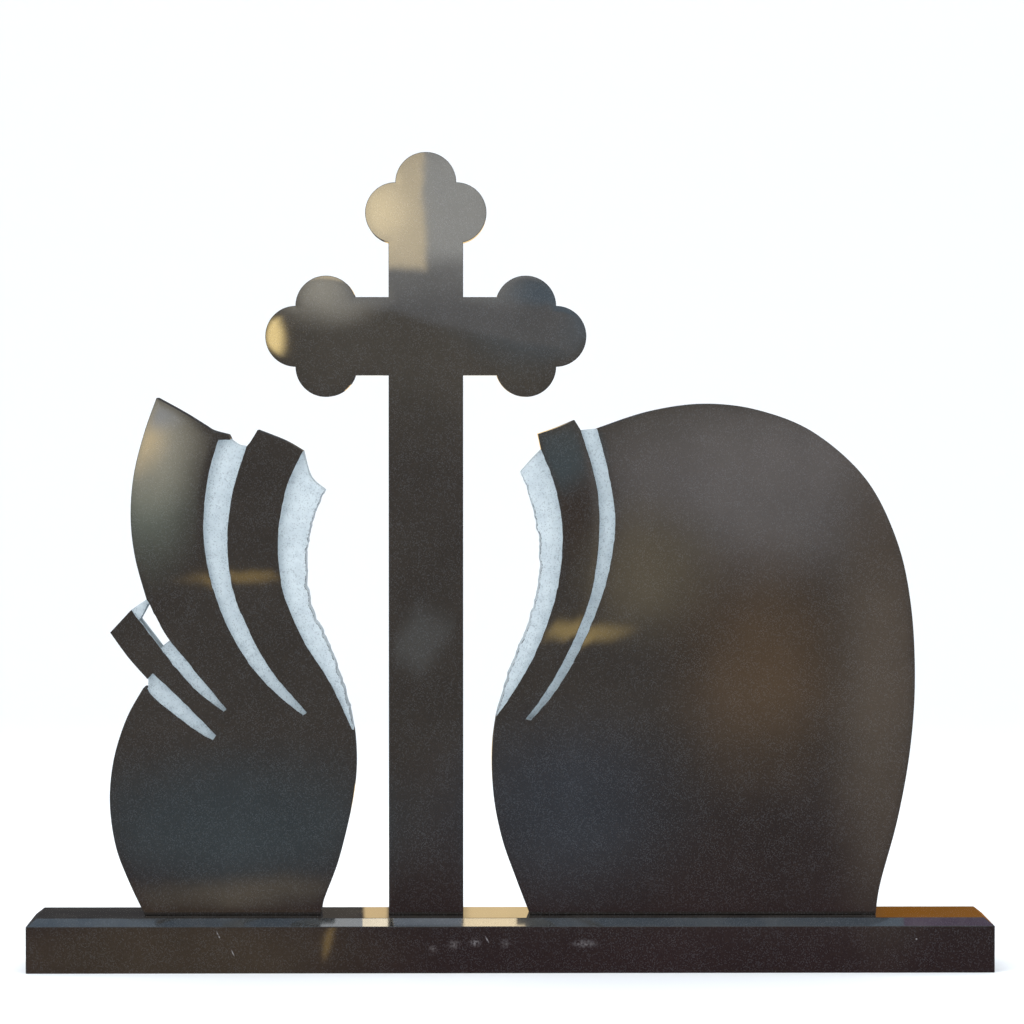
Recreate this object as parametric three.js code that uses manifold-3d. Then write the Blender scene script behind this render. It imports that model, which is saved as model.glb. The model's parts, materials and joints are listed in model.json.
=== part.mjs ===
// A double headstone of polished black stone. A long chamfered base carries three uprights of
// one thickness: a slender stele whose top spreads into leaves, a cross with trefoil ends, and
// a broad stele with a rounded top. Hewn grooves part the leaves and edge both steles.
//
// Millimetres, +X to the right, +Y to the back, +Z up. The origin is the middle of the base's
// underside.

import * as THREE from "three";
import { mergeVertices } from "three/addons/utils/BufferGeometryUtils.js";
import Module from "manifold-3d";

const wasm = await Module();
wasm.setup();

// Base slab: its length follows from what stands on it, below
const BASE_DEPTH = 200;
const BASE_HEIGHT = 90;
const CHAMFER_HEIGHT = 13;
const CHAMFER_DEPTH = 16;

// What all three uprights share
const UPRIGHT_THICKNESS = 80;
const BED_JOINT = 0.3;
const GROOVE_DEPTH = 14;

// Steles: overall widths and heights
const LEFT_WIDTH = 408;
const LEFT_HEIGHT = 859;
const RIGHT_WIDTH = 703;
const RIGHT_HEIGHT = 849;

// Cross: heights are above the base. A trefoil is three round lobes about one middle.
const SHAFT_WIDTH = 123.5;
const ARM_HEIGHT = 130;
const ARM_AXIS_HEIGHT = 961;
const SIDE_TREFOIL_REACH = 165.5;
const TOP_TREFOIL_REACH = 204.5;
const LOBE_RADIUS = 50.5;
const LOBE_OFFSET = 50;

// Places along the base: clear lengths at its ends, and gaps between the steles' widest points
// and the cross's shaft. They and the widths add up to the base's length.
const LEFT_MARGIN = 135;
const LEFT_GAP = 55.25;
const RIGHT_GAP = 47.75;
const RIGHT_MARGIN = 127.5;
const LEFT_SPAN = LEFT_MARGIN + LEFT_WIDTH + LEFT_GAP;
const RIGHT_SPAN = RIGHT_GAP + RIGHT_WIDTH + RIGHT_MARGIN;
const BASE_LENGTH = LEFT_SPAN + SHAFT_WIDTH + RIGHT_SPAN;
const LEFT_CENTRE_X = LEFT_MARGIN + LEFT_WIDTH / 2 - BASE_LENGTH / 2;
const CROSS_CENTRE_X = LEFT_SPAN + SHAFT_WIDTH / 2 - BASE_LENGTH / 2;
const RIGHT_CENTRE_X = BASE_LENGTH / 2 - RIGHT_MARGIN - RIGHT_WIDTH / 2;

// How far a cutter runs past the face that it cuts, and how finely curves are divided
const CUTTER_OVERRUN = 5;
const STEPS_PER_CURVE_POINT = 4;
const LOBE_SEGMENTS = 48;

const polishedStone = new THREE.MeshStandardMaterial({ color: 0x383335, roughness: 0.15, metalness: 0 });
const polishedBase = new THREE.MeshStandardMaterial({ color: 0x332d2f, roughness: 0.15, metalness: 0 });

// Solids

/** Turns a closed geometry into a solid that can be cut and joined. */
function toSolid(geometry) {
  const bare = geometry.clone();
  bare.deleteAttribute("normal");
  bare.deleteAttribute("uv");
  const merged = mergeVertices(bare, 1e-4);
  return new wasm.Manifold(new wasm.Mesh({
    numProp: 3,
    vertProperties: new Float32Array(merged.attributes.position.array),
    triVerts: new Uint32Array(merged.index.array),
  }));
}

/** Turns a solid back into a geometry. */
function toGeometry(solid) {
  const mesh = solid.getMesh();
  const geometry = new THREE.BufferGeometry();
  geometry.setAttribute("position", new THREE.BufferAttribute(mesh.vertProperties, 3));
  geometry.setIndex(new THREE.BufferAttribute(mesh.triVerts, 1));
  geometry.computeVertexNormals();
  return geometry;
}

/** A prism of a shape drawn in X and Z, from depth yFront to depth yBack. */
function prism(shape, yFront, yBack) {
  const geometry = new THREE.ExtrudeGeometry(shape, {
    depth: yBack - yFront,
    bevelEnabled: false,
    curveSegments: STEPS_PER_CURVE_POINT,
  });
  geometry.rotateX(Math.PI / 2);
  geometry.translate(0, yBack, 0);
  return toSolid(geometry);
}

/** A named mesh in a material. */
function piece(name, solid, material) {
  const mesh = new THREE.Mesh(toGeometry(solid), material);
  mesh.name = name;
  return mesh;
}

// Carving: outlines and grooves are drawn in hundredths of a stele's own width, from its left
// limit, and of its own height, from its foot.

/** The map from a stele's hundredths to millimetres, with X from the middle of its width. */
function drawingScale(width, height) {
  return ([across, up]) => new THREE.Vector2((across / 100 - 0.5) * width, (up / 100) * height);
}

/** A closed shape of runs: a run of two points is a straight line, a longer one a smooth curve. */
function shapeOfRuns(runs, scale) {
  const shape = new THREE.Shape();
  const [start] = runs[0];
  const first = scale(start);
  shape.moveTo(first.x, first.y);
  let last = start;
  for (const run of runs) {
    const joined = run[0][0] === last[0] && run[0][1] === last[1];
    if (!joined) {
      const next = scale(run[0]);
      shape.lineTo(next.x, next.y);
    }
    const rest = run.slice(1).map(scale);
    if (rest.length > 1) {
      shape.splineThru(rest);
    } else if (rest.length === 1) {
      shape.lineTo(rest[0].x, rest[0].y);
    }
    last = run[run.length - 1];
  }
  shape.closePath();
  return shape;
}

/** A stele: its outline through the whole thickness, less its grooves and what is pierced. */
function steleSolid({ outline, grooves, pierced }, width, height) {
  const scale = drawingScale(width, height);
  const front = -UPRIGHT_THICKNESS / 2;
  const back = UPRIGHT_THICKNESS / 2;
  let solid = prism(shapeOfRuns(outline, scale), front, back);
  for (const groove of grooves) {
    const cutter = prism(shapeOfRuns(groove, scale), front - CUTTER_OVERRUN, front + GROOVE_DEPTH);
    solid = solid.subtract(cutter);
  }
  for (const { groove, stretch } of pierced) {
    const slot = prism(shapeOfRuns(groove, scale), front - CUTTER_OVERRUN, back + CUTTER_OVERRUN);
    const limits = prism(shapeOfRuns(stretch, scale), front - CUTTER_OVERRUN, back + CUTTER_OVERRUN);
    solid = solid.subtract(slot.intersect(limits));
  }
  return solid;
}

// Left stele's carving

const leftOutline = [
  [[14.2, 0], [85.8, 0]],
  [[85.8, 0], [87.2, 3.1], [93, 10.5], [97.8, 19.7], [99.9, 26.3], [100, 32.4], [98.5, 39]],
  [[98.5, 39], [94.4, 45.9], [88.5, 53.1], [82.2, 59.8], [80.4, 68.7], [82.8, 76], [87.9, 82.1]],
  [[87.9, 82.1], [81.8, 84.7], [78.7, 89.7]],
  [[78.7, 89.7], [71.4, 91.7], [60.3, 93.8]],
  [[60.3, 93.8], [57.6, 91.7], [55.8, 90.6]],
  [[55.8, 90.6], [52.3, 90.9], [49.5, 91.8]],
  [[49.5, 91.8], [48.3, 92.9]],
  [[48.3, 92.9], [42, 93.7], [38.5, 94.7], [30, 97.2], [19.3, 100]],
  [[19.3, 100], [14.1, 93], [9.9, 84.9], [8.7, 76.8], [10.5, 69.1], [15.1, 61.1]],
  [[15.1, 61.1], [8.9, 59.1]],
  [[8.9, 59.1], [0.3, 54.7]],
  [[0.3, 54.7], [7.6, 49.9], [15.4, 45.7]],
  [[15.4, 45.7], [15.4, 43.9]],
  [[15.4, 43.9], [13.6, 43.9]],
  [[13.6, 43.9], [6.8, 38], [1.6, 30.1], [0, 21.8], [2.4, 13.3], [8, 6.2], [14.2, 0]],
];

// The short groove under the small leaf
const leafFootGroove = [
  [[15.4, 45.7], [17.6, 46.7]],
  [[17.6, 46.7], [23, 44.4], [28.8, 41.7], [37.7, 37.5], [43.2, 34.8]],
  [[43.2, 34.8], [42, 33.9]],
  [[42, 33.9], [36.9, 35.3], [28.8, 38], [18.6, 41.9], [15.4, 43.9]],
  [[13.8, 43.9], [13.8, 45.4]],
];

// The groove between the small leaf and the tall one
const smallLeafGroove = [
  [[15.1, 61.1], [22.7, 54.4], [31.2, 49.2], [40.1, 44], [47.5, 39.9]],
  [[47.5, 39.9], [46.4, 39.4]],
  [[46.4, 39.4], [36.1, 43.2], [26.7, 48.1], [17.8, 53.6], [8.9, 59.1]],
  [[7.2, 60.2], [12.5, 62]],
];

// The stretch of that groove that is open right through
const smallLeafOpening = [
  [[8.2, 53.6], [19.1, 63.2]],
  [[30, 55.2], [16.5, 50.1]],
];

// The long groove between the tall leaf and the band
const tallLeafGroove = [
  [
    [44.4, 91.9], [40.1, 84.5], [38.3, 74.5], [40.6, 66.2],
    [47.1, 56.8], [57.2, 48.5], [68.2, 42.7], [78.7, 38.7],
  ],
  [[78.7, 38.7], [80.2, 39.2]],
  [
    [80.2, 39.2], [74.3, 42.3], [65.3, 47.5], [56.4, 55.2],
    [49.9, 63.3], [47.9, 73], [50.3, 82.2], [55.8, 90.6],
  ],
  [[55.8, 92.6], [49.6, 92.6]],
  [[49.1, 91.9], [44.4, 91.9]],
];

// The rebate along the band's outer side, out to the hewn edge
const leftEdgeRebate = [
  [[78.7, 89.7], [72.2, 82.8], [68.6, 73], [70.6, 62.9], [78.7, 53.3], [89.7, 45], [98.6, 35.9]],
  [[103, 35.9], [103, 89.7]],
];

const leftCarving = {
  outline: leftOutline,
  grooves: [leafFootGroove, smallLeafGroove, tallLeafGroove, leftEdgeRebate],
  pierced: [{ groove: smallLeafGroove, stretch: smallLeafOpening }],
};

// Right stele's carving

const rightOutline = [
  [[9, 0], [90.8, 0]],
  [
    [90.8, 0], [91.9, 6.1], [96, 18.8], [98.9, 32.4], [100, 46.1], [99, 60.8], [95.6, 73.4],
    [88.3, 85.3], [76, 94.4], [62.8, 98.8], [50.3, 100], [37.3, 98.5], [24.8, 95.1],
  ],
  [[24.8, 95.1], [21, 94.8]],
  [[21, 94.8], [19.5, 96.8]],
  [[19.5, 96.8], [15.4, 95.4], [10.8, 94.1]],
  [[10.8, 94.1], [11.6, 91]],
  [[11.6, 91], [9.5, 89.2], [6.7, 86.6]],
  [[6.7, 86.6], [9, 80.7], [11, 72.5], [10.4, 63.1], [7.6, 55.1], [3.6, 47.1], [1.3, 40.3]],
  [[1.3, 40.3], [0, 32.4], [0.4, 23.3], [2.4, 14.9], [5.7, 7.1], [9, 0]],
];

// The long groove between the band and the broad face
const broadFaceGroove = [
  [
    [21, 94.8], [23.4, 88.5], [25.2, 81.3], [25.2, 72.5],
    [23.4, 62.7], [19.2, 53.5], [13.5, 44.6], [8.1, 38.4],
  ],
  [[8.1, 38.4], [9.2, 38.2]],
  [
    [9.2, 38.2], [14.7, 43.6], [20.1, 51], [25.5, 61.3],
    [28.2, 69.9], [29, 78.3], [27.3, 87.1], [24.8, 95.1],
  ],
  [[24.6, 96], [21.5, 96]],
];

// The rebate along the band's outer side, out to the hewn edge
const rightEdgeRebate = [
  [
    [11.6, 91], [14.6, 84.4], [16.4, 77.4], [16.3, 68.6],
    [14, 59.4], [9.7, 50.4], [4.8, 43.4], [1.1, 39],
  ],
  [[-2, 39], [-2, 91]],
];

const rightCarving = {
  outline: rightOutline,
  grooves: [broadFaceGroove, rightEdgeRebate],
  pierced: [],
};

// Pieces

/** The base slab, with a chamfer round its four top edges. */
function baseSolid() {
  /** A rectangular section with its two top corners cut off. */
  const section = (span) => {
    const half = span / 2;
    const shape = new THREE.Shape();
    shape.moveTo(-half, 0);
    shape.lineTo(half, 0);
    shape.lineTo(half, BASE_HEIGHT - CHAMFER_HEIGHT);
    shape.lineTo(half - CHAMFER_DEPTH, BASE_HEIGHT);
    shape.lineTo(CHAMFER_DEPTH - half, BASE_HEIGHT);
    shape.lineTo(-half, BASE_HEIGHT - CHAMFER_HEIGHT);
    shape.closePath();
    return shape;
  };
  const along = prism(section(BASE_LENGTH), -BASE_DEPTH / 2, BASE_DEPTH / 2);
  const across = prism(section(BASE_DEPTH), -BASE_LENGTH / 2, BASE_LENGTH / 2).rotate([0, 0, 90]);
  return along.intersect(across);
}

/** A rectangle in X and Z as a prism of the uprights' thickness. */
function bar(left, right, bottom, top) {
  const shape = new THREE.Shape();
  shape.moveTo(left, bottom);
  shape.lineTo(right, bottom);
  shape.lineTo(right, top);
  shape.lineTo(left, top);
  shape.closePath();
  return prism(shape, -UPRIGHT_THICKNESS / 2, UPRIGHT_THICKNESS / 2);
}

/** A trefoil about a middle in X and Z: a lobe the way that it points and one on each side. */
function trefoil(middleX, middleZ, pointing) {
  const lobes = [-1, 0, 1].map((quarterTurns) => {
    const angle = pointing + quarterTurns * (Math.PI / 2);
    const lobe = new THREE.CylinderGeometry(LOBE_RADIUS, LOBE_RADIUS, UPRIGHT_THICKNESS, LOBE_SEGMENTS);
    lobe.translate(
      middleX + LOBE_OFFSET * Math.cos(angle),
      0,
      middleZ + LOBE_OFFSET * Math.sin(angle),
    );
    return toSolid(lobe);
  });
  return lobes.reduce((joined, lobe) => joined.add(lobe));
}

/** The cross: shaft, arms and three trefoils in one. */
function crossSolid() {
  const topZ = ARM_AXIS_HEIGHT + TOP_TREFOIL_REACH;
  const shaft = bar(-SHAFT_WIDTH / 2, SHAFT_WIDTH / 2, 0, topZ);
  const arms = bar(
    -SIDE_TREFOIL_REACH,
    SIDE_TREFOIL_REACH,
    ARM_AXIS_HEIGHT - ARM_HEIGHT / 2,
    ARM_AXIS_HEIGHT + ARM_HEIGHT / 2,
  );
  return shaft
    .add(arms)
    .add(trefoil(0, topZ, Math.PI / 2))
    .add(trefoil(-SIDE_TREFOIL_REACH, ARM_AXIS_HEIGHT, Math.PI))
    .add(trefoil(SIDE_TREFOIL_REACH, ARM_AXIS_HEIGHT, 0));
}

const group = new THREE.Group();
group.add(piece("base", baseSolid(), polishedBase));

const uprights = [
  ["left_stele", steleSolid(leftCarving, LEFT_WIDTH, LEFT_HEIGHT), LEFT_CENTRE_X],
  ["cross", crossSolid(), CROSS_CENTRE_X],
  ["right_stele", steleSolid(rightCarving, RIGHT_WIDTH, RIGHT_HEIGHT), RIGHT_CENTRE_X],
];
for (const [name, solid, centreX] of uprights) {
  const upright = piece(name, solid, polishedStone);
  upright.position.set(centreX, 0, BASE_HEIGHT + BED_JOINT);
  group.add(upright);
}

export default group;
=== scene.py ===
"""Looks of a double memorial: polished slabs with hewn grooves on a low chamfered base."""

import json
import logging
import math
from collections.abc import Callable
from dataclasses import dataclass
from enum import IntEnum

import bpy
import numpy as np
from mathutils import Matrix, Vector
from mathutils.geometry import delaunay_2d_cdt

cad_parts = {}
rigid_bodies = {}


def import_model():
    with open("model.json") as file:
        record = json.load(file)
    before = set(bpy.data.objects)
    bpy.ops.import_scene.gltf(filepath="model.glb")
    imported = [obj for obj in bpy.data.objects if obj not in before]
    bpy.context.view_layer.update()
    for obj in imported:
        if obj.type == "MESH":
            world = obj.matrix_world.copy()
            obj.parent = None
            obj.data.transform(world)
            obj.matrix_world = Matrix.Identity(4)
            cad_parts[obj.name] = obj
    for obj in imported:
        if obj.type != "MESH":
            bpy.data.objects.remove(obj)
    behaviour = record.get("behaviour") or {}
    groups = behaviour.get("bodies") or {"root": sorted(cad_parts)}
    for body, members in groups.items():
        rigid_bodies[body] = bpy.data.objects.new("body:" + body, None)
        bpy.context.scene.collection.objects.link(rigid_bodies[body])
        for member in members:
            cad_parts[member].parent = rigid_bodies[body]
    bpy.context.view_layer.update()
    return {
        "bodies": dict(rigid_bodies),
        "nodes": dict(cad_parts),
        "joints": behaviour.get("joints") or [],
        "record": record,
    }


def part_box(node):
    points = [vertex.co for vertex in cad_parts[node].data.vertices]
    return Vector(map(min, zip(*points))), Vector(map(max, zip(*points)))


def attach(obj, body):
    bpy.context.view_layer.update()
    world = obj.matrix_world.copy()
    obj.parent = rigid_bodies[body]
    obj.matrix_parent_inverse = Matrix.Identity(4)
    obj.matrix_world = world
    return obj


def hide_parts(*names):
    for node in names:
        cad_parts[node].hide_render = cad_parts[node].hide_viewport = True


LOG = logging.getLogger("headstone")

BODY = "root"

# Depths of the slabs, in metres along Y
FRONT = -0.040
FLOOR = -0.026
BACK = 0.040

# What is added to a slab's seed for the noise of its ragged edges and of its notches
RAGGED_SEED = 50
NOTCH_SEED = 90

# Kinds of value: two numbered points, a test of such a pair, one number or many, a place or
# a colour as Blender takes it, a colour as it is seen, and what a shader socket takes
Edge = tuple[int, int]
Mark = Callable[[Edge], bool]
Values = np.ndarray | float
Place = tuple[float, float, float]
Colour = tuple[float, float, float, float]
Seen = tuple[int, int, int]
Socket = bpy.types.NodeSocket
Value = Socket | float
Tint = Socket | Colour


class Finish(IntEnum):
    """Which of a slab's two materials a face wears."""

    POLISHED = 0
    HEWN = 1


class ValueNoise:
    """Smooth seeded noise in space, from about -1 to 1.

    Random values stand on a cubic lattice that repeats, and are blended between its corners
    with the smooth step 3t^2 - 2t^3 along each axis.
    """

    SIZE = 32

    def __init__(self, seed: int) -> None:
        """Fill the lattice.

        Args:
            seed: seed of the random values.
        """
        shape = (self.SIZE, self.SIZE, self.SIZE)
        self.table = np.random.default_rng(seed).uniform(-1.0, 1.0, shape)

    def at(self, points: np.ndarray, scale: float) -> np.ndarray:
        """Value at each point.

        Args:
            points: places in metres, one row each.
            scale: spacing of the lattice in metres.

        Returns:
            One value a point.
        """
        place = points / scale
        cell = np.floor(place).astype(int)
        part = place - cell
        part = part * part * (3.0 - 2.0 * part)
        total = np.zeros(len(points))
        for corner in np.ndindex(2, 2, 2):
            i, j, k = ((cell + corner) % self.SIZE).T
            share = np.where(np.array(corner) == 1, part, 1.0 - part).prod(axis=1)
            total += share * self.table[i, j, k]
        return total


@dataclass
class Ring:
    """Closed loops of drawing points, all in one run of arrays.

    Attributes:
        ids: drawing point of each ring vertex.
        after: ring position of the vertex that follows.
        hewn: True where the edge to the next vertex is a hewn one.
        long: True where that edge is part of a long hewn stretch.
    """

    # Least cosine that a mitre is divided by, so that no step is long at a sharp corner
    SHARPEST = 0.45

    ids: np.ndarray
    after: np.ndarray
    hewn: np.ndarray
    long: np.ndarray

    def before(self) -> np.ndarray:
        """Ring position of the vertex that comes before each."""
        before = np.empty_like(self.after)
        before[self.after] = np.arange(len(self.after))
        return before

    def inward(self, points: np.ndarray) -> np.ndarray:
        """Mitred inward step for each ring vertex, for an inset of 1.

        It is the mean of the two edges' normals over its cosine with one of them.

        Args:
            points: the drawing's points.

        Returns:
            One step in X and Z a vertex.
        """
        before = self.before()
        here = points[self.ids]
        along = here[self.after] - here
        along /= np.linalg.norm(along, axis=1)[:, None]
        left = np.stack([-along[:, 1], along[:, 0]], axis=1)
        both = left + left[before]
        both /= np.linalg.norm(both, axis=1)[:, None] + 1e-12
        reach = (both * left).sum(axis=1)
        return both / np.clip(reach, self.SHARPEST, 1.0)[:, None]


def nearness(
    points: np.ndarray, start: np.ndarray, end: np.ndarray, reach: float
) -> tuple[np.ndarray, np.ndarray]:
    """Distance from points to the nearest of some segments, and whether they are inside them.

    A point is inside if a ray from it crosses the segments an odd number of times. Points are
    taken in belts of like height, each with only the segments that come within reach of it.

    Args:
        points: places in the plane, one row each.
        start: first ends of the segments.
        end: second ends of the segments.
        reach: the largest distance that matters. Greater ones are cut to it.

    Returns:
        The distances and the inside flags.
    """
    belt_size = 600
    order = np.argsort(points[:, 1], kind="stable")
    far = np.full(len(points), reach)
    inside = np.zeros(len(points), dtype=bool)
    lower = np.minimum(start[:, 1], end[:, 1])
    upper = np.maximum(start[:, 1], end[:, 1])
    for belt in np.array_split(order, max(1, len(points) // belt_size)):
        height = points[belt, 1]
        close = (upper >= height[0] - reach) & (lower <= height[-1] + reach)
        if not close.any():
            continue
        x, z = points[belt, 0][:, None], height[:, None]
        x0, z0 = start[close].T
        x1, z1 = end[close].T
        dx, dz = x1 - x0, z1 - z0
        t = np.clip(((x - x0) * dx + (z - z0) * dz) / (dx * dx + dz * dz), 0.0, 1.0)
        gap = np.hypot(x - x0 - t * dx, z - z0 - t * dz).min(axis=1)
        far[belt] = np.minimum(gap, reach)
        cross = x0 + (z - z0) * dx / np.where(dz == 0.0, 1e-30, dz)
        hits = ((z0 > z) != (z1 > z)) & (x < cross)
        inside[belt] = hits.sum(axis=1) % 2 == 1
    return far, inside


def lattice(low: np.ndarray, high: np.ndarray, step: float) -> np.ndarray:
    """Points of a triangular lattice over a rectangle.

    Args:
        low: lowest corner.
        high: highest corner.
        step: spacing.

    Returns:
        One row a point.
    """
    across = np.arange(low[0], high[0], step)
    up = np.arange(low[1], high[1], step * math.sqrt(0.75))
    x, z = np.meshgrid(across, up)
    x = x + (np.arange(len(up)) % 2)[:, None] * step / 2
    return np.stack([x.ravel(), z.ravel()], axis=1)


def smooth_run(points: np.ndarray, step: float) -> np.ndarray:
    """A curve through points, sampled at even steps.

    Between two points it is the cubic that meets both with the slopes of the parabolas
    through each point and its two neighbours.

    Args:
        points: the points in order.
        step: wanted spacing of the samples.

    Returns:
        The samples, both ends among them.
    """
    chords = np.linalg.norm(np.diff(points, axis=0), axis=1)
    count = max(1, round(chords.sum() / step))
    if len(points) == 2:
        share = np.linspace(0.0, 1.0, count + 1)[:, None]
        return points[0] * (1.0 - share) + points[1] * share
    slopes = np.diff(points, axis=0) / chords[:, None]
    before, ahead = chords[:-1, None], chords[1:, None]
    inner = (slopes[:-1] * ahead + slopes[1:] * before) / (before + ahead)
    first = 1.5 * slopes[:1] - 0.5 * inner[:1]
    last = 1.5 * slopes[-1:] - 0.5 * inner[-1:]
    tangents = np.concatenate([first, inner, last])
    knots = np.concatenate([[0.0], np.cumsum(chords)])
    place = np.linspace(0.0, knots[-1], count + 1)
    cell = np.clip(np.searchsorted(knots, place, side="right") - 1, 0, len(chords) - 1)
    t = ((place - knots[cell]) / chords[cell])[:, None]
    width = chords[cell, None]
    curve = (
        (2 * t**3 - 3 * t**2 + 1) * points[cell]
        + (t**3 - 2 * t**2 + t) * width * tangents[cell]
        + (3 * t**2 - 2 * t**3) * points[cell + 1]
        + (t**3 - t**2) * width * tangents[cell + 1]
    )
    curve[0], curve[-1] = points[0], points[-1]
    return curve


class Drawing:
    """The flat curves of a slab, read off its CAD node and sampled finely.

    The land is the polished front at full height, the floors are the groove floors, and the
    outline is that of the back. Stretches that two of them share get the same points.

    Places closer than TOLERANCE are one, turns over CORNER are corners, and hewn stretches
    over LONG have a ragged edge. FACING is how squarely a flat face has to look along Y, and
    LEVEL how close to its depth it has to lie.
    """

    TOLERANCE = 3e-5
    CORNER = math.radians(20.0)
    LONG = 0.2
    FACING = 0.9
    LEVEL = 1e-4

    def __init__(self, node: bpy.types.Object, step: float) -> None:
        """Read the node.

        Args:
            node: the slab's CAD node.
            step: spacing of the sampled points in metres.
        """
        mesh = node.data
        places = np.empty(3 * len(mesh.vertices))
        mesh.vertices.foreach_get("co", places)
        mesh.calc_loop_triangles()
        corners = np.empty(3 * len(mesh.loop_triangles), dtype=np.int32)
        mesh.loop_triangles.foreach_get("vertices", corners)
        triangles = places.reshape(-1, 3)[corners.reshape(-1, 3)]
        normals = np.cross(triangles[:, 1] - triangles[:, 0], triangles[:, 2] - triangles[:, 0])
        facing = normals[:, 1] / (np.linalg.norm(normals, axis=1) + 1e-30)
        depth = triangles[:, :, 1].mean(axis=1)
        flat = triangles[:, :, [0, 2]]
        land = flat[(facing < -self.FACING) & (np.abs(depth - FRONT) < self.LEVEL)]
        floors = flat[(facing < -self.FACING) & (np.abs(depth - FLOOR) < self.LEVEL)]
        back = flat[(facing > self.FACING) & (np.abs(depth - BACK) < self.LEVEL)][:, ::-1]
        self.places, numbered = self._number([land, floors, back])
        land_loops, floor_loops, back_loops = (
            [self._knit(loop) for loop in self._loops(part)] for part in numbered
        )
        land_edges = self._edges(land_loops)
        back_edges = self._edges(back_loops)
        outer_edges = self._edges([loop for loop in back_loops if self._area(loop) > 0.0])
        plans: list[tuple[list[list[int]], Mark]] = [
            (land_loops, lambda edge: edge not in outer_edges),
            (floor_loops, lambda edge: edge in back_edges),
            (back_loops, lambda edge: edge not in land_edges or edge not in outer_edges),
        ]
        breaks = set()
        for loops, mark in plans:
            for loop in loops:
                breaks |= self._breaks(loop, mark)
        self._step = step
        self._made: dict[tuple[int, ...], list[int]] = {}
        self._ends: dict[int, int] = {}
        self._points: list[np.ndarray] = []
        self.land, self.floors, self.outline = (
            self._ring(loops, mark, breaks) for loops, mark in plans
        )
        self.points = np.array(self._points)

    def _number(self, groups: list[np.ndarray]) -> tuple[np.ndarray, list[np.ndarray]]:
        """Give places that coincide one number.

        Args:
            groups: corners of triangles, one array a group.

        Returns:
            The places and each group's triangles as numbers.
        """
        every = np.concatenate([group.reshape(-1, 2) for group in groups])
        keys, back = np.unique(np.round(every / 1e-6), axis=0, return_inverse=True)
        places = keys * 1e-6
        gaps = np.linalg.norm(places[:, None] - places[None], axis=2)
        first = np.argmax(gaps < self.TOLERANCE, axis=1)
        numbers = first[back.ravel()]
        parts = np.split(numbers, np.cumsum([group.shape[0] * 3 for group in groups])[:-1])
        return places, [part.reshape(-1, 3) for part in parts]

    @staticmethod
    def _loops(triangles: np.ndarray) -> list[list[int]]:
        """Boundary loops of a flat set of triangles, with the inside on the left."""
        whole = triangles[
            (triangles[:, 0] != triangles[:, 1])
            & (triangles[:, 1] != triangles[:, 2])
            & (triangles[:, 2] != triangles[:, 0])
        ]
        edges = {(int(t[i]), int(t[(i + 1) % 3])) for t in whole for i in range(3)}
        follow = {a: b for a, b in sorted(edges) if (b, a) not in edges}
        loops = []
        while follow:
            start = min(follow)
            loop = [start]
            here = follow.pop(start)
            while here != start and here in follow:
                loop.append(here)
                here = follow.pop(here)
            loops.append(loop)
        return loops

    def _knit(self, loop: list[int]) -> list[int]:
        """The loop with every numbered place that lies on its edges put in."""
        used = []
        for a, b in zip(loop, loop[1:] + loop[:1]):
            used.append(a)
            along = self.places[b] - self.places[a]
            length = np.linalg.norm(along)
            offset = self.places - self.places[a]
            reach = offset @ along / length
            side = np.abs(offset[:, 0] * along[1] - offset[:, 1] * along[0]) / length
            on = (side < self.TOLERANCE) & (reach > 2 * self.TOLERANCE)
            on &= reach < length - 2 * self.TOLERANCE
            between = np.flatnonzero(on)
            gaps = np.linalg.norm(self.places[between, None] - self.places[None], axis=2)
            between = between[np.argmax(gaps < self.TOLERANCE, axis=1) == between]
            used += [int(i) for i in between[np.argsort(reach[between])]]
        return used

    @staticmethod
    def _edges(loops: list[list[int]]) -> set[Edge]:
        """The directed edges of some loops."""
        return {edge for loop in loops for edge in zip(loop, loop[1:] + loop[:1])}

    def _area(self, loop: list[int]) -> float:
        """Area of a loop, less than 0 for a hole."""
        x, z = self.places[loop].T
        return float((x * np.roll(z, -1) - z * np.roll(x, -1)).sum() / 2)

    def _breaks(self, loop: list[int], mark: Mark) -> set[int]:
        """Places where a loop turns a corner or its mark changes, or else its first place."""
        here = self.places[loop]
        ahead = np.roll(here, -1, axis=0) - here
        behind = here - np.roll(here, 1, axis=0)
        turn = np.arctan2(
            behind[:, 0] * ahead[:, 1] - behind[:, 1] * ahead[:, 0], (ahead * behind).sum(axis=1)
        )
        marks = np.array([mark(edge) for edge in zip(loop, loop[1:] + loop[:1])])
        sharp = (np.abs(turn) > self.CORNER) | (marks != np.roll(marks, 1))
        found = {loop[i] for i in np.flatnonzero(sharp)}
        return found or {loop[0]}

    def _end(self, place: int) -> int:
        """Number of the sampled point at a break."""
        if place not in self._ends:
            self._ends[place] = len(self._points)
            self._points.append(self.places[place])
        return self._ends[place]

    def _stretch(self, run: tuple[int, ...]) -> list[int]:
        """Sampled points of a run of places, the last one left out."""
        forth = run <= run[::-1]
        key = run if forth else run[::-1]
        if key not in self._made:
            curve = smooth_run(self.places[list(key)], self._step)
            first = self._end(key[0])
            last = self._end(key[-1])
            inner = list(range(len(self._points), len(self._points) + len(curve) - 2))
            self._points += list(curve[1:-1])
            self._made[key] = [first, *inner, last]
        made = self._made[key] if forth else self._made[key][::-1]
        return made[:-1]

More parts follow.
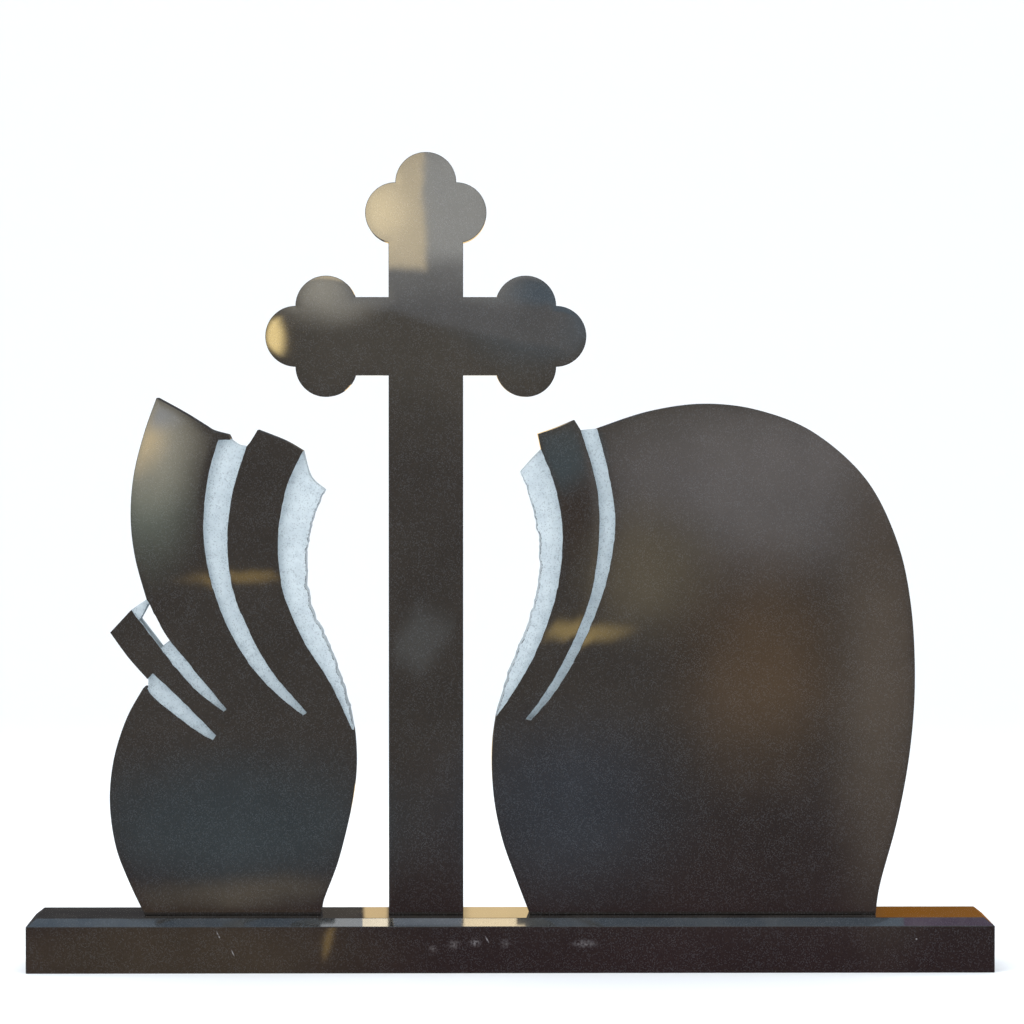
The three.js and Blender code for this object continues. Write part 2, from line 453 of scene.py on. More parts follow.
    def _ring(self, loops: list[list[int]], mark: Mark, breaks: set[int]) -> Ring:
        """Sample some loops and join them in one ring.

        Args:
            loops: the loops, as numbers of places.
            mark: whether an edge is hewn.
            breaks: places that stay as they are. The curve is sampled between them.

        Returns:
            The ring.
        """
        ids, after, hewn, long = [], [], [], []
        for loop in loops:
            at = next((i for i, place in enumerate(loop) if place in breaks), 0)
            turned = loop[at:] + loop[:at] + [loop[at]]
            base = len(ids)
            first = 0
            for last in range(1, len(turned)):
                if turned[last] in breaks or last == len(turned) - 1:
                    made = self._stretch(tuple(turned[first : last + 1]))
                    marked = mark((turned[first], turned[first + 1]))
                    ids += made
                    hewn += [marked] * len(made)
                    long += [marked and len(made) * self._step > self.LONG] * len(made)
                    first = last
            after += list(range(base + 1, len(ids))) + [base]
        numbers = [np.array(part, dtype=int) for part in (ids, after)]
        return Ring(*numbers, *[np.array(part, dtype=bool) for part in (hewn, long)])


class Skin:
    """A closed surface that is put together from rows of vertices and flat caps."""

    def __init__(self) -> None:
        """Start with nothing."""
        self.vertices: list[np.ndarray] = []
        self.weights: list[np.ndarray] = []
        self.broken: list[np.ndarray] = []
        self.faces: list[list[int]] = []
        self.finishes: list[int] = []
        self.count = 0

    def add(
        self, flat: np.ndarray, depth: Values, weight: Values = 0.0, broken: Values = 0.0
    ) -> np.ndarray:
        """Add a row of vertices.

        Args:
            flat: their X and Z.
            depth: their Y, one number or one a vertex.
            weight: how far hewing moves them, from 0 to 1.
            broken: how much of a broken edge they are, from 0 to 1.

        Returns:
            Their numbers.
        """
        depth = np.broadcast_to(depth, len(flat))
        self.vertices.append(np.stack([flat[:, 0], depth, flat[:, 1]], axis=1))
        self.weights.append(np.array(np.broadcast_to(weight, len(flat)), dtype=float))
        self.broken.append(np.array(np.broadcast_to(broken, len(flat)), dtype=float))
        numbers = np.arange(self.count, self.count + len(flat))
        self.count += len(flat)
        return numbers

    def band(self, front: np.ndarray, back: np.ndarray, ring: Ring, hewn: np.ndarray) -> None:
        """Join two rows of a ring by quads that face outward.

        Args:
            front: vertices of the row nearer the front.
            back: vertices of the row behind it.
            ring: the ring that both rows follow.
            hewn: True where the faces are hewn, one flag an edge.
        """
        after = ring.after
        quads = np.stack([front, back, back[after], front[after]], axis=1)
        self.faces += quads.tolist()
        self.finishes += hewn.astype(int).tolist()

    def cap(
        self,
        edge: np.ndarray,
        flat: np.ndarray,
        ring: Ring,
        inner: np.ndarray,
        depth: Values,
        weight: float,
        finish: Finish,
        forward: bool,
    ) -> None:
        """Fill a ring with triangles.

        Args:
            edge: vertices of the ring.
            flat: their X and Z.
            ring: the ring.
            inner: X and Z of the points within.
            depth: depth of those points.
            weight: their weight.
            finish: the finish of the faces.
            forward: True if they face the front.
        """
        numbers = np.concatenate([edge, self.add(inner, depth, weight)])
        places = np.concatenate([flat, inner])
        sides = [(i, int(ring.after[i])) for i in range(len(edge))]
        result = delaunay_2d_cdt([Vector(p) for p in places], sides, [], 1, 1e-7, True)
        faces, origins = result[2:4]
        corners = np.array([face for face in faces if len(face) == 3], dtype=int)
        source = np.array([origin[0] if origin else -1 for origin in origins], dtype=int)
        if (source[corners] < 0).any():
            LOG.warning("a cap has %d corners of its own", int((source < 0).sum()))
        corners = source[corners]
        corners = corners[(corners >= 0).all(axis=1)]
        middle = places[corners].mean(axis=1)
        inside = nearness(middle, flat, flat[ring.after], 0.001)[1]
        corners = corners[inside]
        span = places[corners]
        one = span[:, 1] - span[:, 0]
        two = span[:, 2] - span[:, 0]
        area = one[:, 0] * two[:, 1] - one[:, 1] * two[:, 0]
        corners = np.where((area > 0)[:, None] == forward, corners, corners[:, ::-1])
        self.faces += numbers[corners].tolist()
        self.finishes += [int(finish)] * len(corners)

    def mesh(self, name: str) -> tuple[bpy.types.Mesh, np.ndarray]:
        """Make the mesh.

        Args:
            name: its name.

        Returns:
            The mesh and each vertex's weight.
        """
        mesh = bpy.data.meshes.new(name)
        mesh.from_pydata(np.concatenate(self.vertices).tolist(), [], self.faces)
        mesh.polygons.foreach_set("material_index", self.finishes)
        mesh.polygons.foreach_set("use_smooth", [True] * len(self.faces))
        broken = mesh.attributes.new("broken", "FLOAT", "POINT")
        broken.data.foreach_set("value", np.concatenate(self.broken))
        mesh.update()
        return mesh, np.concatenate(self.weights)


def crease(mesh: bpy.types.Mesh, polished: float, hewn: float) -> None:
    """Mark edges as sharp by the angle between their faces.

    Args:
        mesh: the mesh.
        polished: smallest sharp angle in degrees where a face is polished.
        hewn: the same where all the faces are hewn.
    """
    flags = []
    for angle in (polished, hewn):
        mesh.set_sharp_from_angle(angle=math.radians(angle))
        sharp = np.zeros(len(mesh.edges), dtype=bool)
        mesh.attributes["sharp_edge"].data.foreach_get("value", sharp)
        flags.append(sharp)
    edges = np.empty(len(mesh.loops), dtype=np.int32)
    mesh.loops.foreach_get("edge_index", edges)
    totals = np.empty(len(mesh.polygons), dtype=np.int32)
    mesh.polygons.foreach_get("loop_total", totals)
    finishes = np.empty(len(mesh.polygons), dtype=np.int32)
    mesh.polygons.foreach_get("material_index", finishes)
    smooth = np.zeros(len(mesh.edges), dtype=bool)
    smooth[edges[np.repeat(finishes, totals) == Finish.POLISHED]] = True
    mesh.attributes["sharp_edge"].data.foreach_set("value", np.where(smooth, *flags))
    mesh.update()


def stand(mesh: bpy.types.Mesh, name: str) -> bpy.types.Object:
    """Put a stone in place of its CAD node.

    Args:
        mesh: its mesh, with its materials.
        name: name of the CAD node.

    Returns:
        The stone.
    """
    stone = bpy.data.objects.new(mesh.name, mesh)
    bpy.context.scene.collection.objects.link(stone)
    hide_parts(name)
    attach(stone, BODY)
    LOG.info("%s: %d vertices, %d faces", name, len(mesh.vertices), len(mesh.polygons))
    return stone


@dataclass(frozen=True)
class Hewing:
    """How rough the hewn surfaces are, in metres.

    Attributes:
        seed: seed of the noise.
        pit: depth of the floors' pits.
        pit_size: size of the pits.
        chip: depth of the chips along the outer edges.
        chip_size: size of the chips.
        ragged: how far the front edge of the rough sides stands in.
        notch: depth of the notches along the polish's edges at the grooves.
    """

    seed: int
    pit: float = 0.0012
    pit_size: float = 0.0065
    chip: float = 0.0022
    chip_size: float = 0.016
    ragged: float = 0.0028
    notch: float = 0.0011

    def apply(self, mesh: bpy.types.Mesh, weights: np.ndarray) -> None:
        """Move the vertices in along their normals.

        The pits are noise at two sizes. Vertices whose normal leans away from the front get
        chips too, which are the positive part of a coarser noise.

        Args:
            mesh: the slab's mesh.
            weights: weight of each vertex.
        """
        count = len(mesh.vertices)
        places = np.empty(3 * count)
        normals = np.empty(3 * count)
        mesh.vertices.foreach_get("co", places)
        mesh.vertex_normals.foreach_get("vector", normals)
        places, normals = places.reshape(-1, 3), normals.reshape(-1, 3)
        noise = ValueNoise(self.seed)
        pits = 0.6 * noise.at(places, self.pit_size)
        pits += 0.4 * noise.at(places + 0.37, self.pit_size * 0.42)
        chips = noise.at(places + 0.91, self.chip_size)
        chips += 0.5 * noise.at(places + 0.53, self.chip_size * 0.4)
        sideways = 1.0 - np.abs(normals[:, 1])
        amount = self.pit * (pits - 0.45) - self.chip * sideways * np.clip(chips + 0.1, 0.0, 1.0)
        places += normals * (amount * weights)[:, None]
        mesh.vertices.foreach_set("co", places.ravel())
        mesh.update()

    def notches(self, flat: np.ndarray) -> np.ndarray:
        """How far the polish's edge stands in at the grooves: noise at two sizes, cut off at 0.

        Args:
            flat: points of the edge in X and Z.

        Returns:
            A depth for each point.
        """
        places = np.column_stack([flat[:, 0], np.full(len(flat), 0.2), flat[:, 1]])
        noise = ValueNoise(self.seed + NOTCH_SEED)
        uneven = 0.8 * noise.at(places, 0.013) + 0.5 * noise.at(places, 0.006)
        return self.notch * np.clip(uneven + 0.15, 0.0, 1.0)

    def stand_in(self, drawing: Drawing) -> tuple[np.ndarray, np.ndarray]:
        """How the front edges of the rough sides stand in from the outline.

        The inset is the ragged depth times 1 plus noise at two sizes, and nowhere more than
        a quarter of the way to the polish.

        Args:
            drawing: the slab's drawing.

        Returns:
            A step in X and Z for each drawing point, and how broken the edge is there.
        """
        ring = drawing.outline
        before = ring.before()
        share = (ring.long & ring.long[before]).astype(float)
        for _ in range(3):
            share = (share[before] + share + share[ring.after]) / 3.0
        flat = drawing.points[ring.ids]
        land = drawing.points[drawing.land.ids]
        room, _ = nearness(flat, land, land[drawing.land.after], 0.03)
        places = np.column_stack([flat[:, 0], np.full(len(flat), 0.1), flat[:, 1]])
        noise = ValueNoise(self.seed + RAGGED_SEED)
        uneven = 1.0 + 0.75 * noise.at(places, 0.012) + 0.55 * noise.at(places, 0.005)
        inset = share * np.minimum(self.ragged * np.maximum(uneven, 0.0), 0.25 * room)
        steps = np.zeros((len(drawing.points), 2))
        steps[ring.ids] = ring.inward(drawing.points) * inset[:, None]
        broken = np.zeros(len(drawing.points))
        broken[ring.ids] = share
        return steps, broken


@dataclass
class Slab:
    """An upright slab with a flat polished front, hewn grooves and a plain back.

    Attributes:
        name: name of its CAD node.
        hewing: roughness of its hewn surfaces.
        rim: width of the polish's fall towards the edges.
        fall: depth of that fall.
        arris: radius of the polished edges.
        step: spacing of the points along its curves.
    """

    name: str
    hewing: Hewing
    rim: float = 0.014
    fall: float = 0.00002
    arris: float = 0.0007
    step: float = 0.0026

    # Rows of vertices on an arris, on the walls of the polish and on the sides
    ARRIS_STEPS = 3
    LAND_ROWS = 4
    SIDE_ROWS = 18
    # Spacing of the points within the faces and how far they keep from the edge. On the front
    # the close ones end a little past the rim and the wide ones start a little further in
    RIM_POINTS = (0.0030, 0.0015)
    LAND_STEP = 0.014
    RIM_OVERLAP = 0.003
    LAND_MARGIN = 0.009
    FLOOR_POINTS = (0.0022, 0.0011)
    BACK_POINTS = (0.025, 0.006)
    # Where hewn sides fade to the polished back, and the share of their step-in lost there
    BACK_FADE = 0.008
    BACK_LOSS = 0.3
    # Rise of the weight from one vertex to the next, from the ends of a hewn stretch
    RISE = 0.34
    # Sharp angles in degrees where a face is polished and where all are hewn
    CREASES = (6.0, 50.0)

    def build(
        self, frame: dict, polished: bpy.types.Material, hewn: bpy.types.Material
    ) -> bpy.types.Object:
        """Make the slab and put it in place of its CAD node.

        Args:
            polished: material of the polished faces.
            hewn: material of the hewn faces.

        Returns:
            The slab.
        """
        node = frame["nodes"][self.name]
        drawing = Drawing(node, self.step)
        skin = Skin()
        steps, broken = self.hewing.stand_in(drawing)
        ground = self._ground(skin, drawing, steps, broken)
        self._front(skin, drawing, ground)
        self._floors(skin, drawing, ground, steps)
        self._sides(skin, drawing, ground, steps)
        mesh, weights = skin.mesh(self.name + "_stone")
        self.hewing.apply(mesh, weights)
        crease(mesh, *self.CREASES)
        mesh.materials.append(polished)
        mesh.materials.append(hewn)
        return stand(mesh, self.name)

    def _weights(self, ring: Ring) -> np.ndarray:
        """Weight of each ring vertex, 1 within hewn stretches and 0 at their ends."""
        before = ring.before()
        weight = (ring.hewn & ring.hewn[before]).astype(float)
        for _ in range(3):
            beside = np.minimum(weight[before], weight[ring.after])
            weight = np.minimum(weight, self.RISE + beside)
        return weight

    def _ground(self, skin: Skin, drawing: Drawing, steps: np.ndarray, broken: np.ndarray) -> np.ndarray:
        """The row at the depth of the groove floors, one vertex a drawing point."""
        weight = np.zeros(len(drawing.points))
        weight[drawing.floors.ids] = 1.0
        outline = drawing.outline
        weight[outline.ids] = np.minimum(weight[outline.ids], 0.3 + self._weights(outline))
        return skin.add(drawing.points + steps, FLOOR, weight, broken)

    def _front(self, skin: Skin, drawing: Drawing, ground: np.ndarray) -> None:
        """The polished front, its edges and the walls down to the floors' depth."""
        ring = drawing.land
        foot_line = drawing.points[ring.ids]
        inward = ring.inward(drawing.points)
        groove = self._weights(ring)
        notched = inward * (self.hewing.notches(foot_line) * groove)[:, None]
        flat = foot_line + notched
        lean = math.atan(2.0 * self.fall / self.rim)
        edge_depth = FRONT + self.fall
        rows = []
        for turn in np.linspace(lean, math.pi / 2, self.ARRIS_STEPS + 1):
            inset = self.arris * (1.0 - math.sin(turn)) / (1.0 - math.sin(lean))
            depth = edge_depth + self.arris * (math.cos(lean) - math.cos(turn))
            rows.append(skin.add(flat + inward * inset, depth))
        foot = edge_depth + self.arris * math.cos(lean)
        for share in np.linspace(0.0, 1.0, self.LAND_ROWS + 1)[1:-1]:
            line = foot_line + notched * (1.0 - share) ** 2
            rows.append(skin.add(line, foot + (FLOOR - foot) * share, groove * share))
        rows.append(ground[ring.ids])
        for number, (front, back) in enumerate(zip(rows, rows[1:])):
            skin.band(front, back, ring, ring.hewn & (number >= self.ARRIS_STEPS - 1))
        inner_edge = flat + inward * self.arris
        fine, far = self._inner(inner_edge, ring, *self.RIM_POINTS, self.rim + self.RIM_OVERLAP)
        coarse, beyond = self._inner(inner_edge, ring, self.LAND_STEP, self.rim + self.LAND_MARGIN)
        inner = np.concatenate([fine, coarse])
        far = np.concatenate([far, beyond])
        depth = FRONT + self.fall * np.clip(1.0 - far / self.rim, 0.0, 1.0) ** 2
        skin.cap(rows[0], inner_edge, ring, inner, depth, 0.0, Finish.POLISHED, forward=True)

    @staticmethod
    def _inner(
        edge: np.ndarray, ring: Ring, step: float, least: float, most: float = 0.0
    ) -> tuple[np.ndarray, np.ndarray]:
        """Points of a lattice inside a ring, and how far they are from it.

        Args:
            edge: X and Z of the ring's vertices.
            ring: the ring.
            step: spacing of the points.
            least: least distance from the ring.
            most: greatest distance from it, or 0 for none.

        Returns:
            The points and their distances.
        """
        points = lattice(edge.min(axis=0), edge.max(axis=0), step)
        far, inside = nearness(points, edge, edge[ring.after], (most or least) + 0.001)
        keep = inside & (far > least)
        if most:
            keep &= far < most
        return points[keep], far[keep]

    def _floors(self, skin: Skin, drawing: Drawing, ground: np.ndarray, steps: np.ndarray) -> None:
        """The hewn groove floors."""
        ring = drawing.floors
        if not len(ring.ids):
            return
        flat = (drawing.points + steps)[ring.ids]
        inner, _ = self._inner(flat, ring, *self.FLOOR_POINTS)
        skin.cap(ground[ring.ids], flat, ring, inner, FLOOR, 1.0, Finish.HEWN, forward=True)

    def _sides(self, skin: Skin, drawing: Drawing, ground: np.ndarray, steps: np.ndarray) -> None:
        """The sides behind the floors' depth, the back edges and the back."""
        ring = drawing.outline
        flat = drawing.points[ring.ids]
        inward = ring.inward(drawing.points)
        weight = self._weights(ring)
        rows = [ground[ring.ids]]
        end = BACK - self.arris
        for share in np.linspace(0.0, 1.0, self.SIDE_ROWS + 1)[1:]:
            depth = FLOOR + (end - FLOOR) * share
            fade = np.clip((end - depth) / self.BACK_FADE, 0.0, 1.0)
            shape = flat + steps[ring.ids] * (1.0 - self.BACK_LOSS * share)
            rows.append(skin.add(shape, depth, weight * fade))
        for turn in np.linspace(0.0, math.pi / 2, self.ARRIS_STEPS + 1)[1:]:
            inset = self.arris * (1.0 - math.cos(turn))
            depth = BACK - self.arris * (1.0 - math.sin(turn))
            rows.append(skin.add(shape + inward * inset, depth))
        for front, back in zip(rows, rows[1:]):
            skin.band(front, back, ring, ring.hewn)
        edge = shape + inward * self.arris
        inner, _ = self._inner(edge, ring, *self.BACK_POINTS)
        skin.cap(rows[-1], edge, ring, inner, BACK, 0.0, Finish.POLISHED, forward=False)


@dataclass
class Base:
    """The long slab under the uprights, with a chamfer round its top.

    Attributes:
        name: name of its CAD node.
        chamfer: height of the chamfer.
        chamfer_depth: how far the chamfer goes in.
        arris: size of its small edges.
        corner: radius of its upright corners.
    """

    name: str = "base"
    chamfer: float = 0.013
    chamfer_depth: float = 0.016
    arris: float = 0.0009
    corner: float = 0.0016

    # Points on each small curve, and the least sharp angle in degrees
    CORNER_POINTS = 5
    CREASE = 2.0

    def build(self, polished: bpy.types.Material) -> bpy.types.Object:
        """Make the base and put it in place of its CAD node.

        The profile is carried round the rectangle: a point of it is an inset and a height,
        and its ring is the rectangle less that inset with small quarter circles as corners.

        Args:
            polished: its material.

        Returns:
            The base.
        """
        low, high = (np.array(corner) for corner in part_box(self.name))
        half = (high[:2] - low[:2]) / 2
        middle = (high[:2] + low[:2]) / 2
        rings = [self._ring(half, middle, inset, height) for inset, height in self._profile(high[2])]
        count = len(rings[0])
        here = np.arange(count)
        after = (here + 1) % count
        faces = []
        for under in range(0, (len(rings) - 1) * count, count):
            over = under + count
            faces += np.stack([under + here, under + after, over + after, over + here], axis=1).tolist()
        faces.append(here[::-1].tolist())
        faces.append((here + over).tolist())
        mesh = bpy.data.meshes.new(self.name + "_stone")
        mesh.from_pydata(np.concatenate(rings).tolist(), [], faces)
        mesh.polygons.foreach_set("use_smooth", [True] * len(faces))
        mesh.update()
        crease(mesh, self.CREASE, self.CREASE)
        mesh.materials.append(polished)
        return stand(mesh, self.name)

    def _profile(self, height: float) -> list[tuple[float, float]]:
        """Insets and heights from the underside's edge to the top's.

        Each corner is a parabola that starts and ends at the arris's size from it: the sum
        of the start, twice the corner and the end, by (1-t)^2, t(1-t) and t^2.
        """
        corners = np.array([(0.0, 0.0), (0.0, height - self.chamfer), (self.chamfer_depth, height)])
        past = np.array([(self.chamfer_depth, 0.0), *corners, (2 * self.chamfer_depth, height)])
        legs = np.diff(past, axis=0)
        legs /= np.linalg.norm(legs, axis=1)[:, None]
        starts = corners - self.arris * legs[:-1]
        ends = corners + self.arris * legs[1:]
        t = np.linspace(0.0, 1.0, self.CORNER_POINTS)[:, None]
        curves = [
            (1 - t) ** 2 * start + 2 * t * (1 - t) * corner + t**2 * end
            for start, corner, end in zip(starts, corners, ends)
        ]
        return np.concatenate(curves).tolist()

    def _ring(self, half: np.ndarray, middle: np.ndarray, inset: float, height: float) -> np.ndarray:
        """One ring of the base, counter-clockwise from above."""
        reach = half - inset
        points = []
        for quarter, (x, y) in enumerate([(1, 1), (-1, 1), (-1, -1), (1, -1)]):
            angles = (quarter + np.linspace(0.0, 1.0, self.CORNER_POINTS)) * math.pi / 2
            centre = (reach - self.corner) * (x, y)
            points.append(centre + self.corner * np.stack([np.cos(angles), np.sin(angles)], axis=1))
        flat = np.concatenate(points) + middle
        return np.column_stack([flat, np.full(len(flat), height)])


class NodeTree:
    """Short ways to add shader nodes and join them."""

    def __init__(self, tree: bpy.types.NodeTree) -> None:
        """Take a tree.

        Args:
            tree: the tree to work on.
        """
        self.tree = tree

    def add(self, kind: str, **values: object) -> bpy.types.Node:
        """Add a node.

        Args:
            kind: its type.
            values: its attributes, or its inputs where the name is in the form i_0 or i_Name.

        Returns:
            The node.
        """
        node = self.tree.nodes.new(kind)
        for key, value in values.items():
            if key.startswith("i_"):
                name = key[2:].replace("_", " ")
                self.put(node.inputs[int(name) if name.isdigit() else name], value)
            else:
                setattr(node, key, value)
        return node

    def put(self, socket: bpy.types.NodeSocket, value: object) -> None:
        """Set a socket to a constant, or join an output to it."""
        if isinstance(value, Socket):
            self.tree.links.new(value, socket)
        else:
            socket.default_value = value

    def math(self, operation: str, one: Value, two: Value = 0.0, clamp: bool = False) -> Socket:
        """A math node's output."""
        node = self.add("ShaderNodeMath", operation=operation, use_clamp=clamp, i_0=one, i_1=two)
        return node.outputs[0]

    def ramp(
        self, factor: Value, low: float, high: float, to_low: float = 0.0, to_high: float = 1.0
    ) -> Socket:
        """A value mapped from one range to another, kept within it."""
        node = self.add("ShaderNodeMapRange", i_0=factor, i_1=low, i_2=high, i_3=to_low, i_4=to_high)
        return node.outputs[0]

    def mix(self, factor: Value, one: Tint, two: Tint) -> Socket:
        """A mix of two colours."""
        return self.add("ShaderNodeMix", data_type="RGBA", i_0=factor, i_6=one, i_7=two).outputs[2]

    def noise(self, place: Socket, scale: float, detail: float = 3.0) -> Socket:
        """Noise from 0 to 1."""
        return self.add("ShaderNodeTexNoise", i_Vector=place, i_Scale=scale, i_Detail=detail).outputs[0]

    def part(self, vector: Socket, axis: str) -> Socket:
        """One coordinate of a vector."""
        return self.add("ShaderNodeSeparateXYZ", i_0=vector).outputs[axis]

    def place(self) -> Socket:
        """Place on the object, in its own frame."""
        return self.add("ShaderNodeTexCoord").outputs["Object"]

    def geometry(self, output: str) -> Socket:
        """An output of the geometry node."""
        return self.add("ShaderNodeNewGeometry").outputs[output]


def make_group(name: str, inputs: dict[str, float], outputs: dict[str, str]) -> tuple:
    """Start a shader node group.

    Args:
        name: its name.
        inputs: names of its value inputs and their defaults.
        outputs: names and socket types of its outputs.

    Returns:
        The group, a NodeTree on it, its input node and its output node.
    """
    group = bpy.data.node_groups.new(name, "ShaderNodeTree")
    for key, value in inputs.items():
        socket = group.interface.new_socket(key, in_out="INPUT", socket_type="NodeSocketFloat")
        socket.default_value = value
    for key, kind in outputs.items():
        group.interface.new_socket(key, in_out="OUTPUT", socket_type=kind)
    tree = NodeTree(group)
    return group, tree, tree.add("NodeGroupInput"), tree.add("NodeGroupOutput")


def crystals_group() -> bpy.types.NodeTree:
    """Granite's crystals: a value and a tint for each small cell, and a mask of the palest.

    Returns:
        The group.
    """
    inputs = {"Scale": 520.0}
    outputs = {"Value": "NodeSocketFloat", "Pale": "NodeSocketFloat", "Warm": "NodeSocketFloat"}
    group, tree, enter, leave = make_group("Crystals", inputs, outputs)
    place = tree.place()
    cells = tree.add("ShaderNodeTexVoronoi", i_Vector=place, i_Scale=enter.outputs["Scale"])
    channels = tree.add("ShaderNodeSeparateColor", i_Color=cells.outputs["Color"])
    cloud = tree.noise(place, 35.0, 4.0)
    tree.put(leave.inputs["Value"], channels.outputs[0])
    shared = tree.math("ADD", channels.outputs[1], tree.math("MULTIPLY", cloud, 0.5))
    tree.put(leave.inputs["Pale"], tree.ramp(shared, 1.02, 1.18))
    tree.put(leave.inputs["Warm"], channels.outputs[2])
    return group


def wear_group() -> bpy.types.NodeTree:
    """Wear that all the stone shares: settled dust and faint smears.

    Returns:
        The group.
    """
    inputs = {"Dust": 0.3, "Smears": 0.5}
    outputs = {"Dust": "NodeSocketFloat", "Smears": "NodeSocketFloat"}
    group, tree, enter, leave = make_group("Wear", inputs, outputs)
    place = tree.place()
    up = tree.part(tree.geometry("Normal"), "Z")
    patches = tree.noise(place, 14.0, 5.0)
    settled = tree.math("MULTIPLY", tree.ramp(up, 0.3, 0.95), tree.ramp(patches, 0.3, 0.7))
    tree.put(leave.inputs["Dust"], tree.math("MULTIPLY", settled, enter.outputs["Dust"], True))
    stretched = tree.add("ShaderNodeMapping", i_Vector=place, i_Scale=(3.0, 3.0, 9.0)).outputs[0]
    smear = tree.ramp(tree.noise(stretched, 1.6, 6.0), 0.42, 0.75)
    tree.put(leave.inputs["Smears"], tree.math("MULTIPLY", smear, enter.outputs["Smears"], True))
    return group


def new_material(name: str) -> tuple[bpy.types.Material, NodeTree, bpy.types.Node]:
    """A material with one Principled shader.

    Args:
        name: its name.

    Returns:
        The material, a NodeTree on it and the shader.
    """
    material = bpy.data.materials.new(name)
    material.use_nodes = True
    material.node_tree.nodes.clear()
    tree = NodeTree(material.node_tree)
    shader = tree.add("ShaderNodeBsdfPrincipled")
    output = tree.add("ShaderNodeOutputMaterial")
    tree.put(output.inputs["Surface"], shader.outputs[0])
    return material, tree, shader


class Shape(IntEnum):
    """Forms of the soft patches on the cards."""

    OVAL = 0
    BOX = 1


@dataclass(frozen=True)
class Patch:
    """A soft patch of a card, placed by where the polished front mirrors it.

    Attributes:
        x: middle in metres along the front.
        z: height of the middle.
        wide: half its width.
        high: half its height.
        seen: how it looks in the polish, as 8-bit display values.
        soft: share of its size over which it fades.
        turn: degrees that it is turned counter-clockwise.
        shape: its form.
    """

    x: float
    z: float
    wide: float
    high: float
    seen: Seen
    soft: float = 0.6
    turn: float = 0.0
    shape: Shape = Shape.OVAL


def patch_mask(tree: NodeTree, place: Socket, patch: Patch) -> Socket:
    """How much of a patch there is at a place, from its X and Z.

    The place is turned and scaled to the patch. The length of that for an oval, or its
    greater part for a box, falls smoothly from 1 within to 0 outside.

    Args:
        tree: where the nodes go.
        place: the place.
        patch: the patch.

    Returns:
        The mask.
    """
    own = tree.add(
        "ShaderNodeMapping",
        vector_type="TEXTURE",
        i_Vector=place,
        i_Location=(patch.x, 0.0, patch.z),
        i_Rotation=(0.0, math.radians(-patch.turn), 0.0),
        i_Scale=(patch.wide, 1e6, patch.high),
    ).outputs[0]
    if patch.shape is Shape.OVAL:
        far = tree.add("ShaderNodeVectorMath", operation="LENGTH", i_0=own).outputs["Value"]
    else:
        across = tree.math("ABSOLUTE", tree.part(own, "X"))
        far = tree.math("MAXIMUM", across, tree.math("ABSOLUTE", tree.part(own, "Z")))
    return tree.add(
        "ShaderNodeMapRange",
        interpolation_type="SMOOTHSTEP",
        i_0=far,
        i_1=1.0 - patch.soft,
        i_2=1.0 + patch.soft,
        i_3=1.0,
        i_4=0.0,
    ).outputs[0]


def linear(seen: Seen) -> np.ndarray:
    """8-bit display values made linear."""
    value = np.array(seen) / 255.0
    return np.where(value <= 0.04045, value / 12.92, ((value + 0.055) / 1.055) ** 2.4)


@dataclass(frozen=True)
class PolishedGranite:
    """Polished black granite.

    Attributes:
        name: name of the material.
        dark: colour of the dark crystals.
        grey: colour of the pale crystals.
        brown: colour of the warm crystals.
        settled: colour of the dust.
        grain: crystals a metre.
        roughness: roughness of the polish.
        index: its index of refraction.
        dust: amount of dust on what faces up.
        scuffs: patches of the front that are scuffed.
    """

    name: str
    dark: Colour = (0.0065, 0.006, 0.006, 1.0)
    grey: Colour = (0.024, 0.025, 0.027, 1.0)
    brown: Colour = (0.013, 0.010, 0.008, 1.0)
    settled: Colour = (0.30, 0.27, 0.23, 1.0)
    grain: float = 700.0
    roughness: float = 0.018
    index: float = 1.54
    dust: float = 0.06
    scuffs: tuple[Patch, ...] = ()

    def make(self, crystals: bpy.types.NodeTree, wear: bpy.types.NodeTree) -> bpy.types.Material:
        """Make the material.

        Args:
            crystals: the crystals group.
            wear: the wear group.

        Returns:
            The material.
        """
        material, tree, shader = new_material(self.name)
        grain = tree.add("ShaderNodeGroup", node_tree=crystals, i_Scale=self.grain)
        marks = tree.add("ShaderNodeGroup", node_tree=wear, i_Dust=self.dust, i_Smears=0.6)
        warm = tree.ramp(grain.outputs["Warm"], 0.62, 0.9)
        stone = tree.mix(warm, self.dark, self.brown)
        stone = tree.mix(grain.outputs["Pale"], stone, self.grey)
        stone = tree.mix(marks.outputs["Dust"], stone, self.settled)
        rough = tree.math("ADD", self.roughness, tree.math("MULTIPLY", marks.outputs["Smears"], 0.02))
        rough = tree.math("ADD", rough, tree.math("MULTIPLY", marks.outputs["Dust"], 0.5))
        if self.scuffs:
            place = tree.place()
            facing = tree.ramp(tree.part(tree.geometry("Normal"), "Y"), -0.8, -0.95)
            broken = tree.ramp(tree.noise(place, 260.0, 4.0), 0.38, 0.60)
            bare = tree.math("MULTIPLY", broken, facing)
            for scuff in self.scuffs:
                worn = tree.math("MULTIPLY", patch_mask(tree, place, scuff), bare)
                stone = tree.mix(worn, stone, (*linear(scuff.seen), 1.0))
                rough = tree.math("ADD", rough, tree.math("MULTIPLY", worn, 0.3))
        tree.put(shader.inputs["Base Color"], stone)
        tree.put(shader.inputs["Roughness"], rough)
        tree.put(shader.inputs["IOR"], self.index)
        return material


